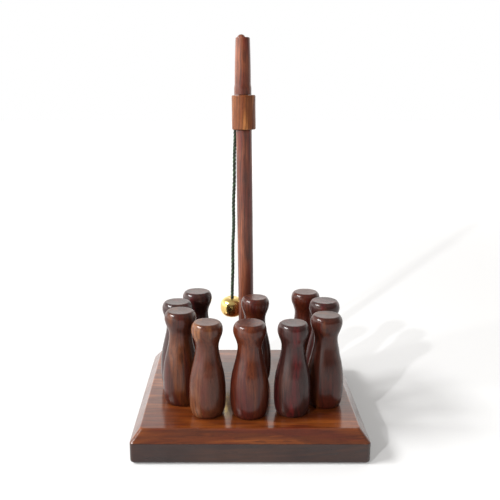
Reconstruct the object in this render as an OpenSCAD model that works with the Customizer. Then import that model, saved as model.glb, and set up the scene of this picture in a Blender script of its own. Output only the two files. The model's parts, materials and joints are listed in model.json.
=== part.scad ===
// Tabletop ten-pin skittles set.
// Ten turned pins stand loose on a chamfered board. A brass ball hangs on a cord from a collar
// that turns on a pole behind the pins. Units are millimetres. The origin is under the middle of
// the board, +Z is up, and the front of the set faces -Y.

/* [Board] */
// Width and depth of the square board
board_w = 150; // [148:1:200]
// Height of the board's top face over the surface that the set stands on
board_top = 21.6; // [20:0.2:30]
// Height of the upright side faces, up to the chamfer
side_top = 14.1; // [10:0.1:16]
// Width of the chamfer, seen from above
chamfer_w = 6.2; // [3:0.1:8]
// Radius of the board's four upright corners
corner_r = 2.8; // [1:0.1:4]
// Thickness of the baize pad under the board
felt_t = 0.6; // [0.4:0.1:2]

/* [Pole] */
// Distance of the pole's foot behind the middle of the board
pole_y = 45; // [40:1:55]
// Diameter of the pole
pole_d = 11.6; // [11:0.1:13]
// Lean of the pole towards the left, in degrees
pole_lean = 0.9; // [0:0.1:2]
// Height of the shoulder that carries the collar, over the board's top face
shoulder_h = 177.9; // [150:0.1:190]
// Diameter of the spindle that the collar turns on
spindle_d = 7; // [6:0.1:8]
// Length of the pole's top piece, without its pip
top_len = 39.2; // [30:0.1:50]
// Diameter of the pole at the tip of its top piece
tip_d = 10.2; // [9:0.1:11]

/* [Collar] */
// Outer diameter of the collar
collar_d = 17.1; // [17:0.1:20]
// Length of the collar
collar_len = 24.2; // [18:0.1:30]
// Radial running clearance between the collar and its spindle
running_gap = 0.1; // [0.05:0.01:0.1]

/* [Ball and cord] */
// Diameter of the brass ball
ball_d = 18; // [17:0.1:18]
// Height of the ball between its two faced ends
ball_h = 15; // [14.5:0.1:15.5]
// Diameter of the cord
cord_d = 2.4; // [2.2:0.1:2.5]

/* [Pins] */
// Height of a pin
pin_h = 62.5; // [58:0.5:66]
// Largest diameter of a pin's body
body_d = 24.7; // [24:0.1:25]
// Diameter of a pin's neck
neck_d = 15.4; // [14:0.1:17]
// Largest diameter of a pin's head
head_d = 21; // [19:0.1:21]
// Diameter of the flat top of the head
flat_d = 16.5; // [14:0.1:17.5]

/* [Hidden] */

rosewood = "#5b2a22";
dark_rosewood = "#46211e";
board_wood = "#7a3c1c";
pale_wood = "#9a6440";
baize = "#24402c";
steel = "#b9bbbd";
brass = "#c89b3c";
cord_green = "#1c2a1e";

round_fn = 96;
arc_steps = 8;

// Board
edge_r = 2.2;
felt_inset = 4;
felt_corner_r = 3;
half_w = board_w / 2;

// Pole, measured along its own leaning axis from the board's top face
pole_r = pole_d / 2;
seat_depth = 0.3;
tenon_d = 9;
tenon_len = 12;
end_play = 0.1;
spindle_up = 10;
spindle_len = collar_len + 2 * end_play + spindle_up;
top_z0 = shoulder_h + collar_len + 2 * end_play;
top_swell = 0.45;
swell_from = 5;
swell_to = 7;
top_straight = 12;
top_edge = 0.8;
top_foot_edge = 0.2;
// The top piece is glued on a little to the left and stands nearer upright than the pole
top_offset = 0.5;
top_set_back = 0.57;
top_foot_gap = 0.06;
pip_r = 2.8;
pip_h = 2.1;
pip_shift = 1;

// Screw, measured the same way
screw_head_d = 7.4;
screw_shank_d = 3.6;
screw_root_d = 2.8;
screw_head_z = felt_t - board_top + 0.6;
screw_head_h = 2.3;
screw_len = 30;
thread_pitch = 1.6;
thread_turns = 8;
slot_w = 0.9;
slot_depth = 1;

// Collar and the cord's glued end
bore_r = spindle_d / 2 + running_gap;
collar_r = collar_d / 2;
collar_edge = 0.9;
collar_z0 = shoulder_h + end_play;
cord_r = cord_d / 2;
cord_side = 155;
cord_hole_at = 7.1;
cord_hole_depth = 12;

// Point that the cord swings from, just under its hole in the leaning collar
cord_gap = 0.2;
exit_x = cord_hole_at * cos(cord_side);
exit_y = cord_hole_at * sin(cord_side);
hang_from = [
    exit_x * cos(pole_lean) - collar_z0 * sin(pole_lean),
    pole_y + exit_y,
    board_top + exit_x * sin(pole_lean) + collar_z0 * cos(pole_lean) - cord_r - cord_gap,
];

// Free cord: its route, from the point that it swings from, down to the knot in the ball
cord_route = [
    [0, 0, 0], [-0.1, 0.4, -7], [-0.4, 0.8, -14], [-0.5, 1.1, -21], [-0.5, 1.5, -28],
    [-0.5, 2, -35], [-0.7, 2.4, -42], [-1, 2.7, -49], [-1.1, 3.1, -56], [-1, 3.6, -63],
    [-1, 4, -70], [-1.2, 4.3, -77], [-1.5, 4.7, -84], [-1.6, 5.1, -91], [-1.6, 5.6, -98],
    [-1.6, 6, -105], [-1.8, 6.3, -112], [-2, 6.7, -119], [-2.1, 7.1, -126], [-2.2, 7.5, -133],
    [-2.3, 7.8, -138.8],
];
cord_sides = 8;

// Ball, hung on the lower end of the cord
hang = [-2.2, 7.6, -135.4];
hang_turn = atan2(hang.y, hang.x);
hang_tilt = acos(-hang.z / norm(hang));
ball_r = ball_d / 2;
// The ball's side follows (r / ball_r)^ball_square + (z / ball_crown)^ball_square = 1
ball_crown = 7.9;
ball_square = 2.6;
ball_steps = 32;
ball_bore_d = 2.9;
knot_pocket_d = 6;
knot_pocket_h = 4;
knot_gap = 0.1;
knot_r = 2.4;
knot_h = 3.2;

// Pins: place across, place from front to back, and this pin's diameters and height
// against the usual ones, because each is turned by hand
PINS = [
    [0, -48, 1.02, 1],
    [-27.2, -46.8, 0.965, 1],
    [27.9, -45.2, 0.97, 0.984],
    [-45.5, -27.9, 1, 1.025],
    [50.7, -32, 1, 1],
    [-49.5, -2, 1, 1],
    [53.1, -1.6, 1.01, 1.011],
    [-36.9, 24.2, 1.02, 1],
    [42.6, 24.6, 0.99, 0.992],
    [5.1, 8.7, 0.96, 1],
];
foot_r = 9.4;
body_at = 0.2;
neck_at = 0.745;
head_at = 0.925;
body_fullness = 1.4;
shoulder_end = 70;

// Points of an elliptical arc about [r, z], from angle a to angle b
function arc(r, z, size_r, size_z, a, b, steps = arc_steps) =
    [for (i = [0:steps]) let (t = a + (b - a) * i / steps) [r + size_r * cos(t), z + size_z * sin(t)]];

// Points of a half-wave blend from [r0, z0] to [r1, z1]; a fullness over 1 holds the start longer
function blend(r0, z0, r1, z1, fullness, steps) =
    [for (i = [1:steps - 1]) let (t = i / steps)
        [(r0 + r1) / 2 + (r0 - r1) / 2 * cos(180 * pow(t, fullness)), z0 + (z1 - z0) * t]];

// Half outline of a pin, from the middle of its foot to the middle of its flat top
function pin_outline() =
    let (
        body_r = body_d / 2,
        neck_r = neck_d / 2,
        head_r = head_d / 2,
        flat_r = flat_d / 2,
        body_z = body_at * pin_h,
        neck_z = neck_at * pin_h,
        head_z = head_at * pin_h,
        // Centre of the shoulder's arc, so that it ends on the rim of the flat top
        shoulder_r = (flat_r - head_r * cos(shoulder_end)) / (1 - cos(shoulder_end)),
        shoulder_h2 = (pin_h - head_z) / sin(shoulder_end)
    )
    concat(
        [[0, 0]],
        arc(foot_r, body_z, body_r - foot_r, body_z, -90, 0),
        blend(body_r, body_z, neck_r, neck_z, body_fullness, 14),
        blend(neck_r, neck_z, head_r, head_z, 1, 8),
        arc(shoulder_r, head_z, head_r - shoulder_r, shoulder_h2, 0, shoulder_end, 6),
        [[0, pin_h]]
    );

// Places its children on the pole's leaning axis, with z counted from the board's top face
module on_pole() {
    translate([0, pole_y, board_top])
        rotate([0, -pole_lean, 0])
            children();
}

// Places its children at the cord's upper end, with -Z pointing along the cord to the ball
module on_cord() {
    translate(hang_from)
        rotate([0, 0, hang_turn])
            rotate([0, -hang_tilt, 0])
                children();
}

// Square with rounded corners, as a flat shape
module rounded_square(w, r) {
    square([w - 2 * r, w], center = true);
    square([w, w - 2 * r], center = true);
    for (x = [-1, 1], y = [-1, 1])
        translate([x * (w / 2 - r), y * (w / 2 - r)])
            circle(r = r, $fn = 32);
}

// Cross section of the board: eased lower edges, upright sides and a chamfer
module board_section() {
    polygon(concat(
        arc(-half_w + edge_r, felt_t + edge_r, edge_r, edge_r, 180, 270, 8),
        arc(half_w - edge_r, felt_t + edge_r, edge_r, edge_r, 270, 360, 8),
        [
            [half_w, side_top],
            [half_w - chamfer_w, board_top],
            [-half_w + chamfer_w, board_top],
            [-half_w, side_top],
        ]
    ));
}

module section_bar(turn) {
    rotate([0, 0, turn])
        rotate([90, 0, 0])
            translate([0, 0, -board_w])
                linear_extrude(2 * board_w)
                    board_section();
}

module screw_shape(shank_d) {
    translate([0, 0, screw_head_z]) {
        cylinder(h = screw_head_h, d1 = screw_head_d, d2 = shank_d, $fn = round_fn);
        cylinder(h = screw_len, d = shank_d, $fn = round_fn);
    }
}

// Board: mortise for the pole's tenon, and a countersunk hole for the screw from below
module base_board() {
    color(board_wood)
        difference() {
            intersection() {
                linear_extrude(board_top)
                    rounded_square(board_w, corner_r);
                section_bar(0);
                section_bar(90);
            }
            on_pole() {
                translate([0, 0, -seat_depth])
                    cylinder(h = 5, d = pole_d, $fn = round_fn);
                translate([0, 0, -tenon_len])
                    cylinder(h = 2 * tenon_len, d = tenon_d, $fn = round_fn);
                screw_shape(screw_shank_d);
                translate([0, 0, screw_head_z - 3])
                    cylinder(h = 3, d = screw_head_d, $fn = round_fn);
            }
        }
}

module felt_pad() {
    color(baize)
        linear_extrude(felt_t)
            rounded_square(board_w - 2 * felt_inset, felt_corner_r);
}

// Pole: tenon below, shoulder under the collar, spindle above it
module pole() {
    color(rosewood)
        on_pole()
            difference() {
                union() {
                    translate([0, 0, -tenon_len])
                        cylinder(h = tenon_len + 1, d = tenon_d, $fn = round_fn);
                    translate([0, 0, -seat_depth])
                        cylinder(h = shoulder_h + seat_depth, d = pole_d, $fn = round_fn);
                    translate([0, 0, shoulder_h - 1])
                        cylinder(h = spindle_len + 1, d = spindle_d, $fn = round_fn);
                }
                translate([0, 0, -tenon_len - 1])
                    cylinder(h = screw_head_z + screw_len + tenon_len + 1, d = screw_shank_d,
                        $fn = round_fn);
            }
}

// Top piece: straight, then tapered to the tip, with a rounded rim and a small pip
module pole_top() {
    tip_r = tip_d / 2;
    base_r = pole_r + top_swell;
    color(rosewood)
        on_pole()
            translate([0, 0, top_z0])
                difference() {
                    translate([-top_offset, 0, top_foot_gap])
                        rotate([0, top_set_back, 0]) {
                            rotate_extrude($fn = round_fn)
                                polygon(concat(
                                    [[0, 0], [base_r - top_foot_edge, 0], [base_r, top_foot_edge]],
                                    [[base_r, swell_from], [pole_r, swell_to]],
                                    [[pole_r, top_straight]],
                                    arc(tip_r - top_edge, top_len - top_edge, top_edge, top_edge,
                                        0, 90, 4),
                                    [[0, top_len]]
                                ));
                            translate([-pip_shift, 0, top_len])
                                rotate_extrude($fn = round_fn)
                                    polygon(concat(
                                        [[0, -0.5], [pip_r, -0.5]],
                                        arc(0, 0, pip_r, pip_h, 0, 90, 6)
                                    ));
                        }
                    translate([0, 0, -1])
                        cylinder(h = spindle_up + 1, d = spindle_d, $fn = round_fn);
                }
}

// Countersunk slotted wood screw; its thread is a row of sharp rings under the tip
module pole_screw() {
    thread_z0 = screw_head_z + screw_len - (thread_turns + 1) * thread_pitch;
    root_r = screw_root_d / 2;
    crest_r = screw_shank_d / 2;
    color(steel)
        on_pole()
            difference() {
                rotate_extrude($fn = round_fn)
                    polygon(concat(
                        [
                            [0, screw_head_z],
                            [screw_head_d / 2, screw_head_z],
                            [crest_r, screw_head_z + screw_head_h],
                            [crest_r, thread_z0 - 0.4],
                        ],
                        [for (i = [0:thread_turns - 1], k = [0:1])
                            [k == 0 ? root_r : crest_r, thread_z0 + (i + k / 2) * thread_pitch]],
                        [[root_r, thread_z0 + thread_turns * thread_pitch]],
                        [[0, screw_head_z + screw_len]]
                    ));
                translate([-screw_head_d, -slot_w / 2, screw_head_z - 1])
                    cube([2 * screw_head_d, slot_w, slot_depth + 1]);
            }
}

// Collar: turned sleeve with rounded rims, and a blind hole in its underside for the cord
module collar() {
    color(pale_wood)
        on_pole()
            translate([0, 0, collar_z0])
                difference() {
                    rotate_extrude($fn = round_fn)
                        polygon(concat(
                            [[bore_r, 0]],
                            arc(collar_r - collar_edge, collar_edge, collar_edge, collar_edge,
                                -90, 0, 5),
                            arc(collar_r - collar_edge, collar_len - collar_edge, collar_edge,
                                collar_edge, 0, 90, 5),
                            [[bore_r, collar_len]]
                        ));
                    rotate([0, 0, cord_side])
                        translate([cord_hole_at, 0, -1])
                            cylinder(h = cord_hole_depth + 1, d = cord_d, $fn = 48);
                }
}

module cord_end() {
    color(cord_green)
        on_pole()
            rotate([0, 0, cord_side])
                translate([cord_hole_at, 0, collar_z0])
                    cylinder(h = cord_hole_depth, d = cord_d, $fn = 48);
}

// Swept tube of the free cord. Its upper end is rounded about the point that it swings from.
module cord() {
    // Rings of the rounded end, as angles above the swinging point's own level
    end_rings = [80, 60, 40, 20];
    centres = concat([for (a = end_rings) [0, 0, cord_r * sin(a)]], cord_route);
    radii = concat([for (a = end_rings) cord_r * cos(a)], [for (p = cord_route) cord_r]);
    last = len(centres) - 1;
    points = [for (k = [0:last], i = [0:cord_sides - 1]) let (a = 360 * i / cord_sides)
        centres[k] + radii[k] * [cos(a), sin(a), 0]];
    sides = [for (k = [0:last - 1], i = [0:cord_sides - 1])
        let (a = k * cord_sides + i, b = k * cord_sides + (i + 1) % cord_sides)
        [a, a + cord_sides, b + cord_sides, b]];
    top = [for (i = [0:cord_sides - 1]) i];
    bottom = [for (i = [cord_sides - 1:-1:0]) last * cord_sides + i];
    color(cord_green)
        translate(hang_from)
            polyhedron(points = points, faces = concat([top], sides, [bottom]), convexity = 4);
}

// Ball: barrel-sided and faced flat at both ends, bored for the cord, with a pocket for the
// knot below
module ball() {
    half_h = ball_h / 2;
    side = [for (i = [0:ball_steps]) let (z = half_h * (2 * i / ball_steps - 1))
        [ball_r * pow(1 - pow(abs(z) / ball_crown, ball_square), 1 / ball_square), z]];
    color(brass)
        on_cord()
            translate([0, 0, -norm(hang)])
                difference() {
                    rotate_extrude($fn = round_fn)
                        polygon(concat(
                            [[0, -half_h]],
                            side,
                            [[0, half_h]]
                        ));
                    cylinder(h = ball_d, d = ball_bore_d, center = true, $fn = 48);
                    translate([0, 0, -half_h - 1])
                        cylinder(h = knot_pocket_h + 1, d = knot_pocket_d, $fn = 64);
                }
}

// Knot: it sits in the ball's pocket and carries the ball
module ball_knot() {
    core_r = 1;
    color(cord_green)
        on_cord()
            translate([0, 0, knot_pocket_h - ball_h / 2 - knot_gap - norm(hang)])
                rotate_extrude($fn = 48)
                    polygon(concat(
                        [[0, -knot_h]],
                        arc(core_r, -knot_h / 2, knot_r - core_r, knot_h / 2, -90, 90),
                        [[0, 0]]
                    ));
}

// Pin number i, turned from one piece; the lathe leaves each a little slimmer or fuller
module pin(i) {
    place = PINS[i];
    color(i % 3 == 1 ? rosewood : dark_rosewood)
        translate([place[0], place[1], board_top])
            rotate_extrude($fn = round_fn)
                polygon([for (p = pin_outline()) [p[0] * place[2], p[1] * place[3]]]);
}

base_board();
felt_pad();
pole();
pole_top();
pole_screw();
collar();
cord_end();
cord();
ball();
ball_knot();
pin(0);  // pin_1
pin(1);  // pin_2
pin(2);  // pin_3
pin(3);  // pin_4
pin(4);  // pin_5
pin(5);  // pin_6
pin(6);  // pin_7
pin(7);  // pin_8
pin(8);  // pin_9
pin(9);  // pin_10
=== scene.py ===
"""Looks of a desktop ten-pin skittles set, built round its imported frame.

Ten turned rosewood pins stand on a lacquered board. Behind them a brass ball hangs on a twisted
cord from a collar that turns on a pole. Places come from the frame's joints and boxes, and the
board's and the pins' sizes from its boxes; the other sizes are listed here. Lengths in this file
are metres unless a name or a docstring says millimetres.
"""

from __future__ import annotations

import json
import logging
import math
from dataclasses import dataclass, field
from enum import Enum
from typing import Any, Iterable, Sequence

import bpy
import numpy as np
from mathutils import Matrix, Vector

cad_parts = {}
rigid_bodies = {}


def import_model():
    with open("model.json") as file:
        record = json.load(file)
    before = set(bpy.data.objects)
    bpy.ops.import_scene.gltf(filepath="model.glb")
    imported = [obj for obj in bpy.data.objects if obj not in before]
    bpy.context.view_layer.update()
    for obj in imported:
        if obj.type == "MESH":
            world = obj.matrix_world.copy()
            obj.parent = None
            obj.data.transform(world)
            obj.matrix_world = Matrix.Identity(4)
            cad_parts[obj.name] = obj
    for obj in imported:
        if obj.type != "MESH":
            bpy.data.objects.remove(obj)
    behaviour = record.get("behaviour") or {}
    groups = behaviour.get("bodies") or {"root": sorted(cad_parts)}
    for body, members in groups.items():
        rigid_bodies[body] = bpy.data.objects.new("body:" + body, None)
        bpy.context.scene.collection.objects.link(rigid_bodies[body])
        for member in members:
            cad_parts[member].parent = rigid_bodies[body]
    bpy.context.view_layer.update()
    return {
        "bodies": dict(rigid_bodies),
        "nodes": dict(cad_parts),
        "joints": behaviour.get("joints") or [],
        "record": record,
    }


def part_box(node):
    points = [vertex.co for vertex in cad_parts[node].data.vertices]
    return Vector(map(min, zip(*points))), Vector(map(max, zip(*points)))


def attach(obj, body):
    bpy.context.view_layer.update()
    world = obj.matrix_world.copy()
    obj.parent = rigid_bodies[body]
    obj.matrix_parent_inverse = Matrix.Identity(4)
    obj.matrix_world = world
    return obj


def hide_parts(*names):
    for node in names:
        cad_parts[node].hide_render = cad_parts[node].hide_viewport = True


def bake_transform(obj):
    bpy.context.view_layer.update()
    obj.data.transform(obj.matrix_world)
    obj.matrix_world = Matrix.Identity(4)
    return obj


log = logging.getLogger("skittles")

MM = 0.001
UP = np.array([0.0, 0.0, 1.0])
Colour = tuple[float, float, float]
Socket = bpy.types.NodeSocket


# ---------------------------------------------------------------------------------------------
# Placing and meshing
# ---------------------------------------------------------------------------------------------


@dataclass(frozen=True)
class Placement:
    """An origin and an axis. Shapes are made about +Z through 0 and then laid on it.

    Attributes:
        origin: the point that the shape's own origin goes to.
        axis: the direction that the shape's own +Z goes to.
    """

    origin: np.ndarray
    axis: np.ndarray = field(default_factory=lambda: UP.copy())

    def matrix(self) -> np.ndarray:
        """Turning matrix that takes +Z to the axis and keeps +X as near to +X as it can."""
        z = self.axis / np.linalg.norm(self.axis)
        y = np.cross(z, [1.0, 0.0, 0.0])
        y /= np.linalg.norm(y)
        return np.stack([np.cross(y, z), y, z], axis=1)

    def lay(self, points: np.ndarray) -> np.ndarray:
        """Turns and shifts points, given as an array whose last length is 3.

        Args:
            points: the shape's own points.

        Returns:
            The same points in the row frame.
        """
        return points @ self.matrix().T + self.origin


def arc(centre: Sequence[float], size: Sequence[float], start: float, end: float, steps: int) -> np.ndarray:
    """Points (radius, height) of an elliptical arc, its angle running evenly from start to end.

    Args:
        centre: radius and height of the arc's centre.
        size: its half width and half height.
        start: first angle in degrees, 0 pointing outwards and 90 up.
        end: last angle in degrees.
        steps: number of points.

    Returns:
        An array of shape (steps, 2).
    """
    a = np.radians(np.linspace(start, end, steps))
    return np.stack([centre[0] + size[0] * np.cos(a), centre[1] + size[1] * np.sin(a)], axis=1)


def line(*points: Sequence[float]) -> np.ndarray:
    """The given (radius, height) points as an array."""
    return np.array(points, float)


def grid_quads(rows: int, columns: int, closed_rows: bool = False) -> np.ndarray:
    """Faces of a grid of points whose columns close on themselves.

    Args:
        rows: number of rings.
        columns: number of points in each ring.
        closed_rows: whether the last ring joins the first.

    Returns:
        Point indices of the quads, shape (n, 4).
    """
    r = np.arange(rows if closed_rows else rows - 1)[:, None]
    c = np.arange(columns)[None, :]
    above, beside = (r + 1) % rows, (c + 1) % columns
    corners = [r * columns + c, r * columns + beside, above * columns + beside, above * columns + c]
    return np.stack(np.broadcast_arrays(*corners), axis=-1).reshape(-1, 4)


def mesh_object(name: str, points: np.ndarray, faces: Iterable[Sequence[int]]) -> bpy.types.Object:
    """Makes a smooth-shaded mesh object at the origin from points and faces.

    Args:
        name: the piece's name.
        points: the points in the row frame, shape (n, 3).
        faces: point indices of each face, in outward order.

    Returns:
        The object, linked to the scene.
    """
    mesh = bpy.data.meshes.new(name)
    mesh.from_pydata(points.reshape(-1, 3).tolist(), [], [list(map(int, f)) for f in faces])
    mesh.polygons.foreach_set("use_smooth", np.ones(len(mesh.polygons), bool))
    mesh.validate()
    mesh.update()
    piece = bpy.data.objects.new(name, mesh)
    bpy.context.scene.collection.objects.link(piece)
    return piece


def ringed(name: str, rings: np.ndarray, ends: Sequence[np.ndarray] | None) -> bpy.types.Object:
    """A closed skin over a stack of rings.

    Args:
        name: the piece's name.
        rings: ring points in the row frame, shape (rows, columns, 3), each ring running
            anticlockwise seen from the last ring's side.
        ends: the middle points that close the first and last ring, or None to join the last
            ring to the first, as round a bore.

    Returns:
        The mesh object.
    """
    rows, columns, _ = rings.shape
    faces = grid_quads(rows, columns, closed_rows=ends is None).tolist()
    points = rings.reshape(-1, 3)
    if ends is not None:
        first, last = rows * columns, rows * columns + 1
        top = (rows - 1) * columns
        points = np.concatenate([points, np.array(ends, float).reshape(2, 3)])
        turn = np.arange(columns)
        beside = (turn + 1) % columns
        faces += np.stack([np.full(columns, first), beside, turn], axis=1).tolist()
        faces += np.stack([np.full(columns, last), top + turn, top + beside], axis=1).tolist()
    return mesh_object(name, points, faces)


def turned(
    name: str,
    outline: np.ndarray,
    place: Placement,
    segments: int = 96,
    bored: bool = False,
    rise: Any = None,
) -> bpy.types.Object:
    """A lathe-turned solid: every outline point is carried round the axis at its own radius.

    Args:
        name: the piece's name.
        outline: (radius, height) points from the bottom outwards and up, in metres.
        place: where the lathe's axis lies.
        segments: points in one ring.
        bored: whether the outline comes back down through a bore, so that it is a closed loop.
        rise: optional function of x and y that gives an extra height for the end face.

    Returns:
        The mesh object.
    """
    turn = np.linspace(0.0, 2 * math.pi, segments, endpoint=False)
    radius, height = outline[:, :1], outline[:, 1:]
    x, y = radius * np.cos(turn), radius * np.sin(turn)
    z = np.broadcast_to(height, x.shape).copy()
    if rise is not None:
        z += rise(x, y, z)
    rings = place.lay(np.stack([x, y, z], axis=-1))
    if bored:
        return ringed(name, rings, None)
    bottom, top = float(outline[0, 1]), float(outline[-1, 1])
    if rise is not None:
        nothing = np.zeros(1)
        top += float(rise(nothing, nothing, np.array([top]))[0])
    return ringed(name, rings, place.lay(np.array([[0, 0, bottom], [0, 0, top]], float)))


def finish_piece(
    piece: bpy.types.Object, material: bpy.types.Material, body: str, slot: str, *stands_for: str
) -> bpy.types.Object:
    """Dresses a piece, makes it ride on its body and lets it stand for its CAD nodes.

    Args:
        piece: the finished mesh.
        material: its material.
        body: the body that it moves with.
        slot: the record's material slot; not used.
        stands_for: names of the CAD nodes that it replaces.

    Returns:
        The piece.
    """
    piece.data.materials.clear()
    piece.data.materials.append(material)
    if stands_for:
        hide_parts(*stands_for)
    if body:
        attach(piece, body)
    log.info("%s: %d faces, stands for %s", piece.name, len(piece.data.polygons), stands_for)
    return piece


# ---------------------------------------------------------------------------------------------
# Shader building
# ---------------------------------------------------------------------------------------------


class Wiring:
    """Places nodes in one shader tree and joins them, so that a recipe reads top to bottom."""

    def __init__(self, tree: bpy.types.NodeTree) -> None:
        """Starts with an empty tree."""
        self.tree = tree
        tree.nodes.clear()

    def node(self, kind: str, settings: dict[str, Any] | None = None, **inputs: Any) -> bpy.types.Node:
        """Adds a node.

        Args:
            kind: the node's type, without its ShaderNode prefix.
            settings: the node's own properties.
            inputs: values or sockets for its inputs. An underscore stands for a space, and
                i0, i1 and so on name an input by its place.

        Returns:
            The node.
        """
        made = self.tree.nodes.new("ShaderNode" + kind)
        for key, value in (settings or {}).items():
            setattr(made, key, value)
        for key, value in inputs.items():
            by_place = key[0] == "i" and key[1:].isdigit()
            self.set(made.inputs[int(key[1:])] if by_place else made.inputs[key.replace("_", " ")], value)
        return made

    def set(self, socket: Socket, value: Any) -> None:
        """Joins a socket to another, or gives it a plain value; a colour gets its alpha."""
        if isinstance(value, bpy.types.NodeSocket):
            self.tree.links.new(value, socket)
        elif socket.type == "RGBA" and len(value) == 3:
            socket.default_value = (*value, 1.0)
        else:
            socket.default_value = value

    def math(self, operation: str, a: Any, b: Any = 0.0, c: Any = 0.0, clamp: bool = False) -> Socket:
        """One Math node, named by its operation, and its result."""
        settings = {"operation": operation, "use_clamp": clamp}
        return self.node("Math", settings, i0=a, i1=b, i2=c).outputs[0]

    def spread(self, value: Any, low: float, high: float, to_low: float = 0.0, to_high: float = 1.0) -> Socket:
        """Maps a value from one range to another with a smooth step, and holds it at the ends."""
        settings = {"interpolation_type": "SMOOTHSTEP"}
        inputs = {"Value": value, "From_Min": low, "From_Max": high, "To_Min": to_low, "To_Max": to_high}
        return self.node("MapRange", settings, **inputs).outputs[0]

    def mix(self, share: Any, a: Any, b: Any) -> Socket:
        """Mixes two colours; share 0 is all a, and share 1 all b."""
        return self.node("Mix", {"data_type": "RGBA"}, i0=share, i6=a, i7=b).outputs[2]

    def noise(
        self, vector: Socket, scale: Any, detail: float = 2.0, rough: float = 0.5, bent: float = 0.0
    ) -> Socket:
        """Fractal noise from 0 to 1 about 0.5."""
        inputs = {"Vector": vector, "Scale": scale, "Detail": detail, "Roughness": rough, "Distortion": bent}
        return self.node("TexNoise", None, **inputs).outputs[0]

    def stretched(self, vector: Socket, x: float, y: float, z: float) -> Socket:
        """The vector with each part multiplied by its own number."""
        return self.node("VectorMath", {"operation": "MULTIPLY"}, i0=vector, i1=(x, y, z)).outputs[0]

    def relief(self, shader: bpy.types.Node, height: Socket, strength: float = 1.0) -> None:
        """Bends the shader's normal by a height in metres."""
        bump = self.node("Bump", None, Strength=strength, Distance=1.0, Height=height)
        self.set(shader.inputs["Normal"], bump.outputs[0])


def node_group(name: str, inputs: dict[str, Any], outputs: dict[str, str]) -> tuple[Any, Wiring, Any, Any]:
    """Starts a shader node group with named sockets.

    Args:
        name: the group's name.
        inputs: each input's name and its usual value; a triple makes a colour, and None a vector.
        outputs: each output's name and its socket kind, such as Float or Color.

    Returns:
        The group, its wiring, its input node's sockets and its output node's sockets.
    """
    group = bpy.data.node_groups.new(name, "ShaderNodeTree")
    for key, value in inputs.items():
        kind = "Vector" if value is None else "Color" if isinstance(value, tuple) else "Float"
        socket = group.interface.new_socket(name=key, in_out="INPUT", socket_type="NodeSocket" + kind)
        if kind == "Color":
            socket.default_value = (*value, 1.0)
        elif kind == "Float":
            socket.default_value = value
    for key, kind in outputs.items():
        group.interface.new_socket(name=key, in_out="OUTPUT", socket_type="NodeSocket" + kind)
    wiring = Wiring(group)
    given = group.nodes.new("NodeGroupInput")
    result = group.nodes.new("NodeGroupOutput")
    return group, wiring, given.outputs, result.inputs


def rosewood_group() -> bpy.types.NodeTree:
    """Rosewood figure, from a place in millimetres with the grain along Z and the pith on the Z axis.

    Growth rings are the distance from the pith over the ring spacing, bent by a slow noise. Fibres
    are a noise drawn out along Z, and pores a finer one cut off near its top. A slow noise decides
    where the pale and the dark wood lie.

    Returns:
        The group: Color, Pores and Height.
    """
    inputs = {
        "Place": None,
        "Dark": (0.02, 0.008, 0.006),
        "Middle": (0.12, 0.04, 0.02),
        "Pale": (0.3, 0.12, 0.05),
        "Flush": (0.12, 0.02, 0.018),
        "Ring spacing": 3.0,
        "Pale share": 0.5,
        "Streaks": 0.6,
    }
    outputs = {"Color": "Color", "Pores": "Float", "Height": "Float"}
    group, w, given, result = node_group("rosewood figure", inputs, outputs)
    place = given["Place"]

    slow = w.noise(w.stretched(place, 0.05, 0.05, 0.012), 1.0, 2.0)
    sway = w.noise(w.stretched(place, 0.3, 0.3, 0.035), 1.0, 3.0, 0.55)
    flat = w.stretched(place, 1.0, 1.0, 0.0)
    away = w.node("VectorMath", {"operation": "LENGTH"}, i0=flat).outputs[1]
    count = w.math("DIVIDE", away, given["Ring spacing"])
    count = w.math("MULTIPLY_ADD", sway, 2.2, count)
    count = w.math("MULTIPLY_ADD", slow, 3.0, count)
    phase = w.math("FRACT", count)
    late = w.math("MULTIPLY", w.spread(phase, 0.25, 0.92), w.spread(phase, 1.0, 0.93))

    fibre = w.noise(w.stretched(place, 2.6, 2.6, 0.05), 1.0, 4.0, 0.6)
    broad = w.noise(w.stretched(place, 0.55, 0.55, 0.02), 1.0, 3.0, 0.55)
    zone = w.noise(w.stretched(place, 0.085, 0.085, 0.018), 1.0, 1.5, 0.4, 0.6)

    dark = w.math("MULTIPLY", w.math("MULTIPLY", late, 0.55), given["Streaks"])
    fine = w.math("MULTIPLY", w.spread(fibre, 0.4, 0.68), given["Streaks"])
    dark = w.math("MULTIPLY_ADD", fine, 0.5, dark)
    dark = w.math("MULTIPLY_ADD", w.spread(broad, 0.48, 0.75), 0.4, dark, clamp=True)
    threshold = w.math("SUBTRACT", 1.0, given["Pale share"])
    lift = w.math("SUBTRACT", zone, w.math("MULTIPLY_ADD", threshold, 0.5, 0.25))
    pale = w.spread(lift, -0.06, 0.14)
    wood = w.mix(pale, given["Middle"], given["Pale"])
    flush = w.noise(w.stretched(place, 0.16, 0.16, 0.022), 1.0, 2.5, 0.5)
    wood = w.mix(w.spread(flush, 0.48, 0.68), wood, given["Flush"])
    wood = w.mix(dark, wood, given["Dark"])

    pore_noise = w.noise(w.stretched(place, 7.0, 7.0, 0.55), 1.0, 2.0, 0.6)
    pores = w.spread(pore_noise, 0.6, 0.72)
    wood = w.mix(w.math("MULTIPLY", pores, 0.55), wood, given["Dark"])
    ray = w.noise(w.stretched(place, 9.0, 9.0, 1.6), 1.0, 1.0)
    wood = w.mix(w.spread(ray, 0.3, 0.8, 0.0, 0.16), wood, given["Pale"])

    height = w.math("MULTIPLY_ADD", pores, -1.0, w.math("MULTIPLY", fibre, 0.5))
    w.set(result["Color"], wood)
    w.set(result["Pores"], pores)
    w.set(result["Height"], height)
    return group


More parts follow.
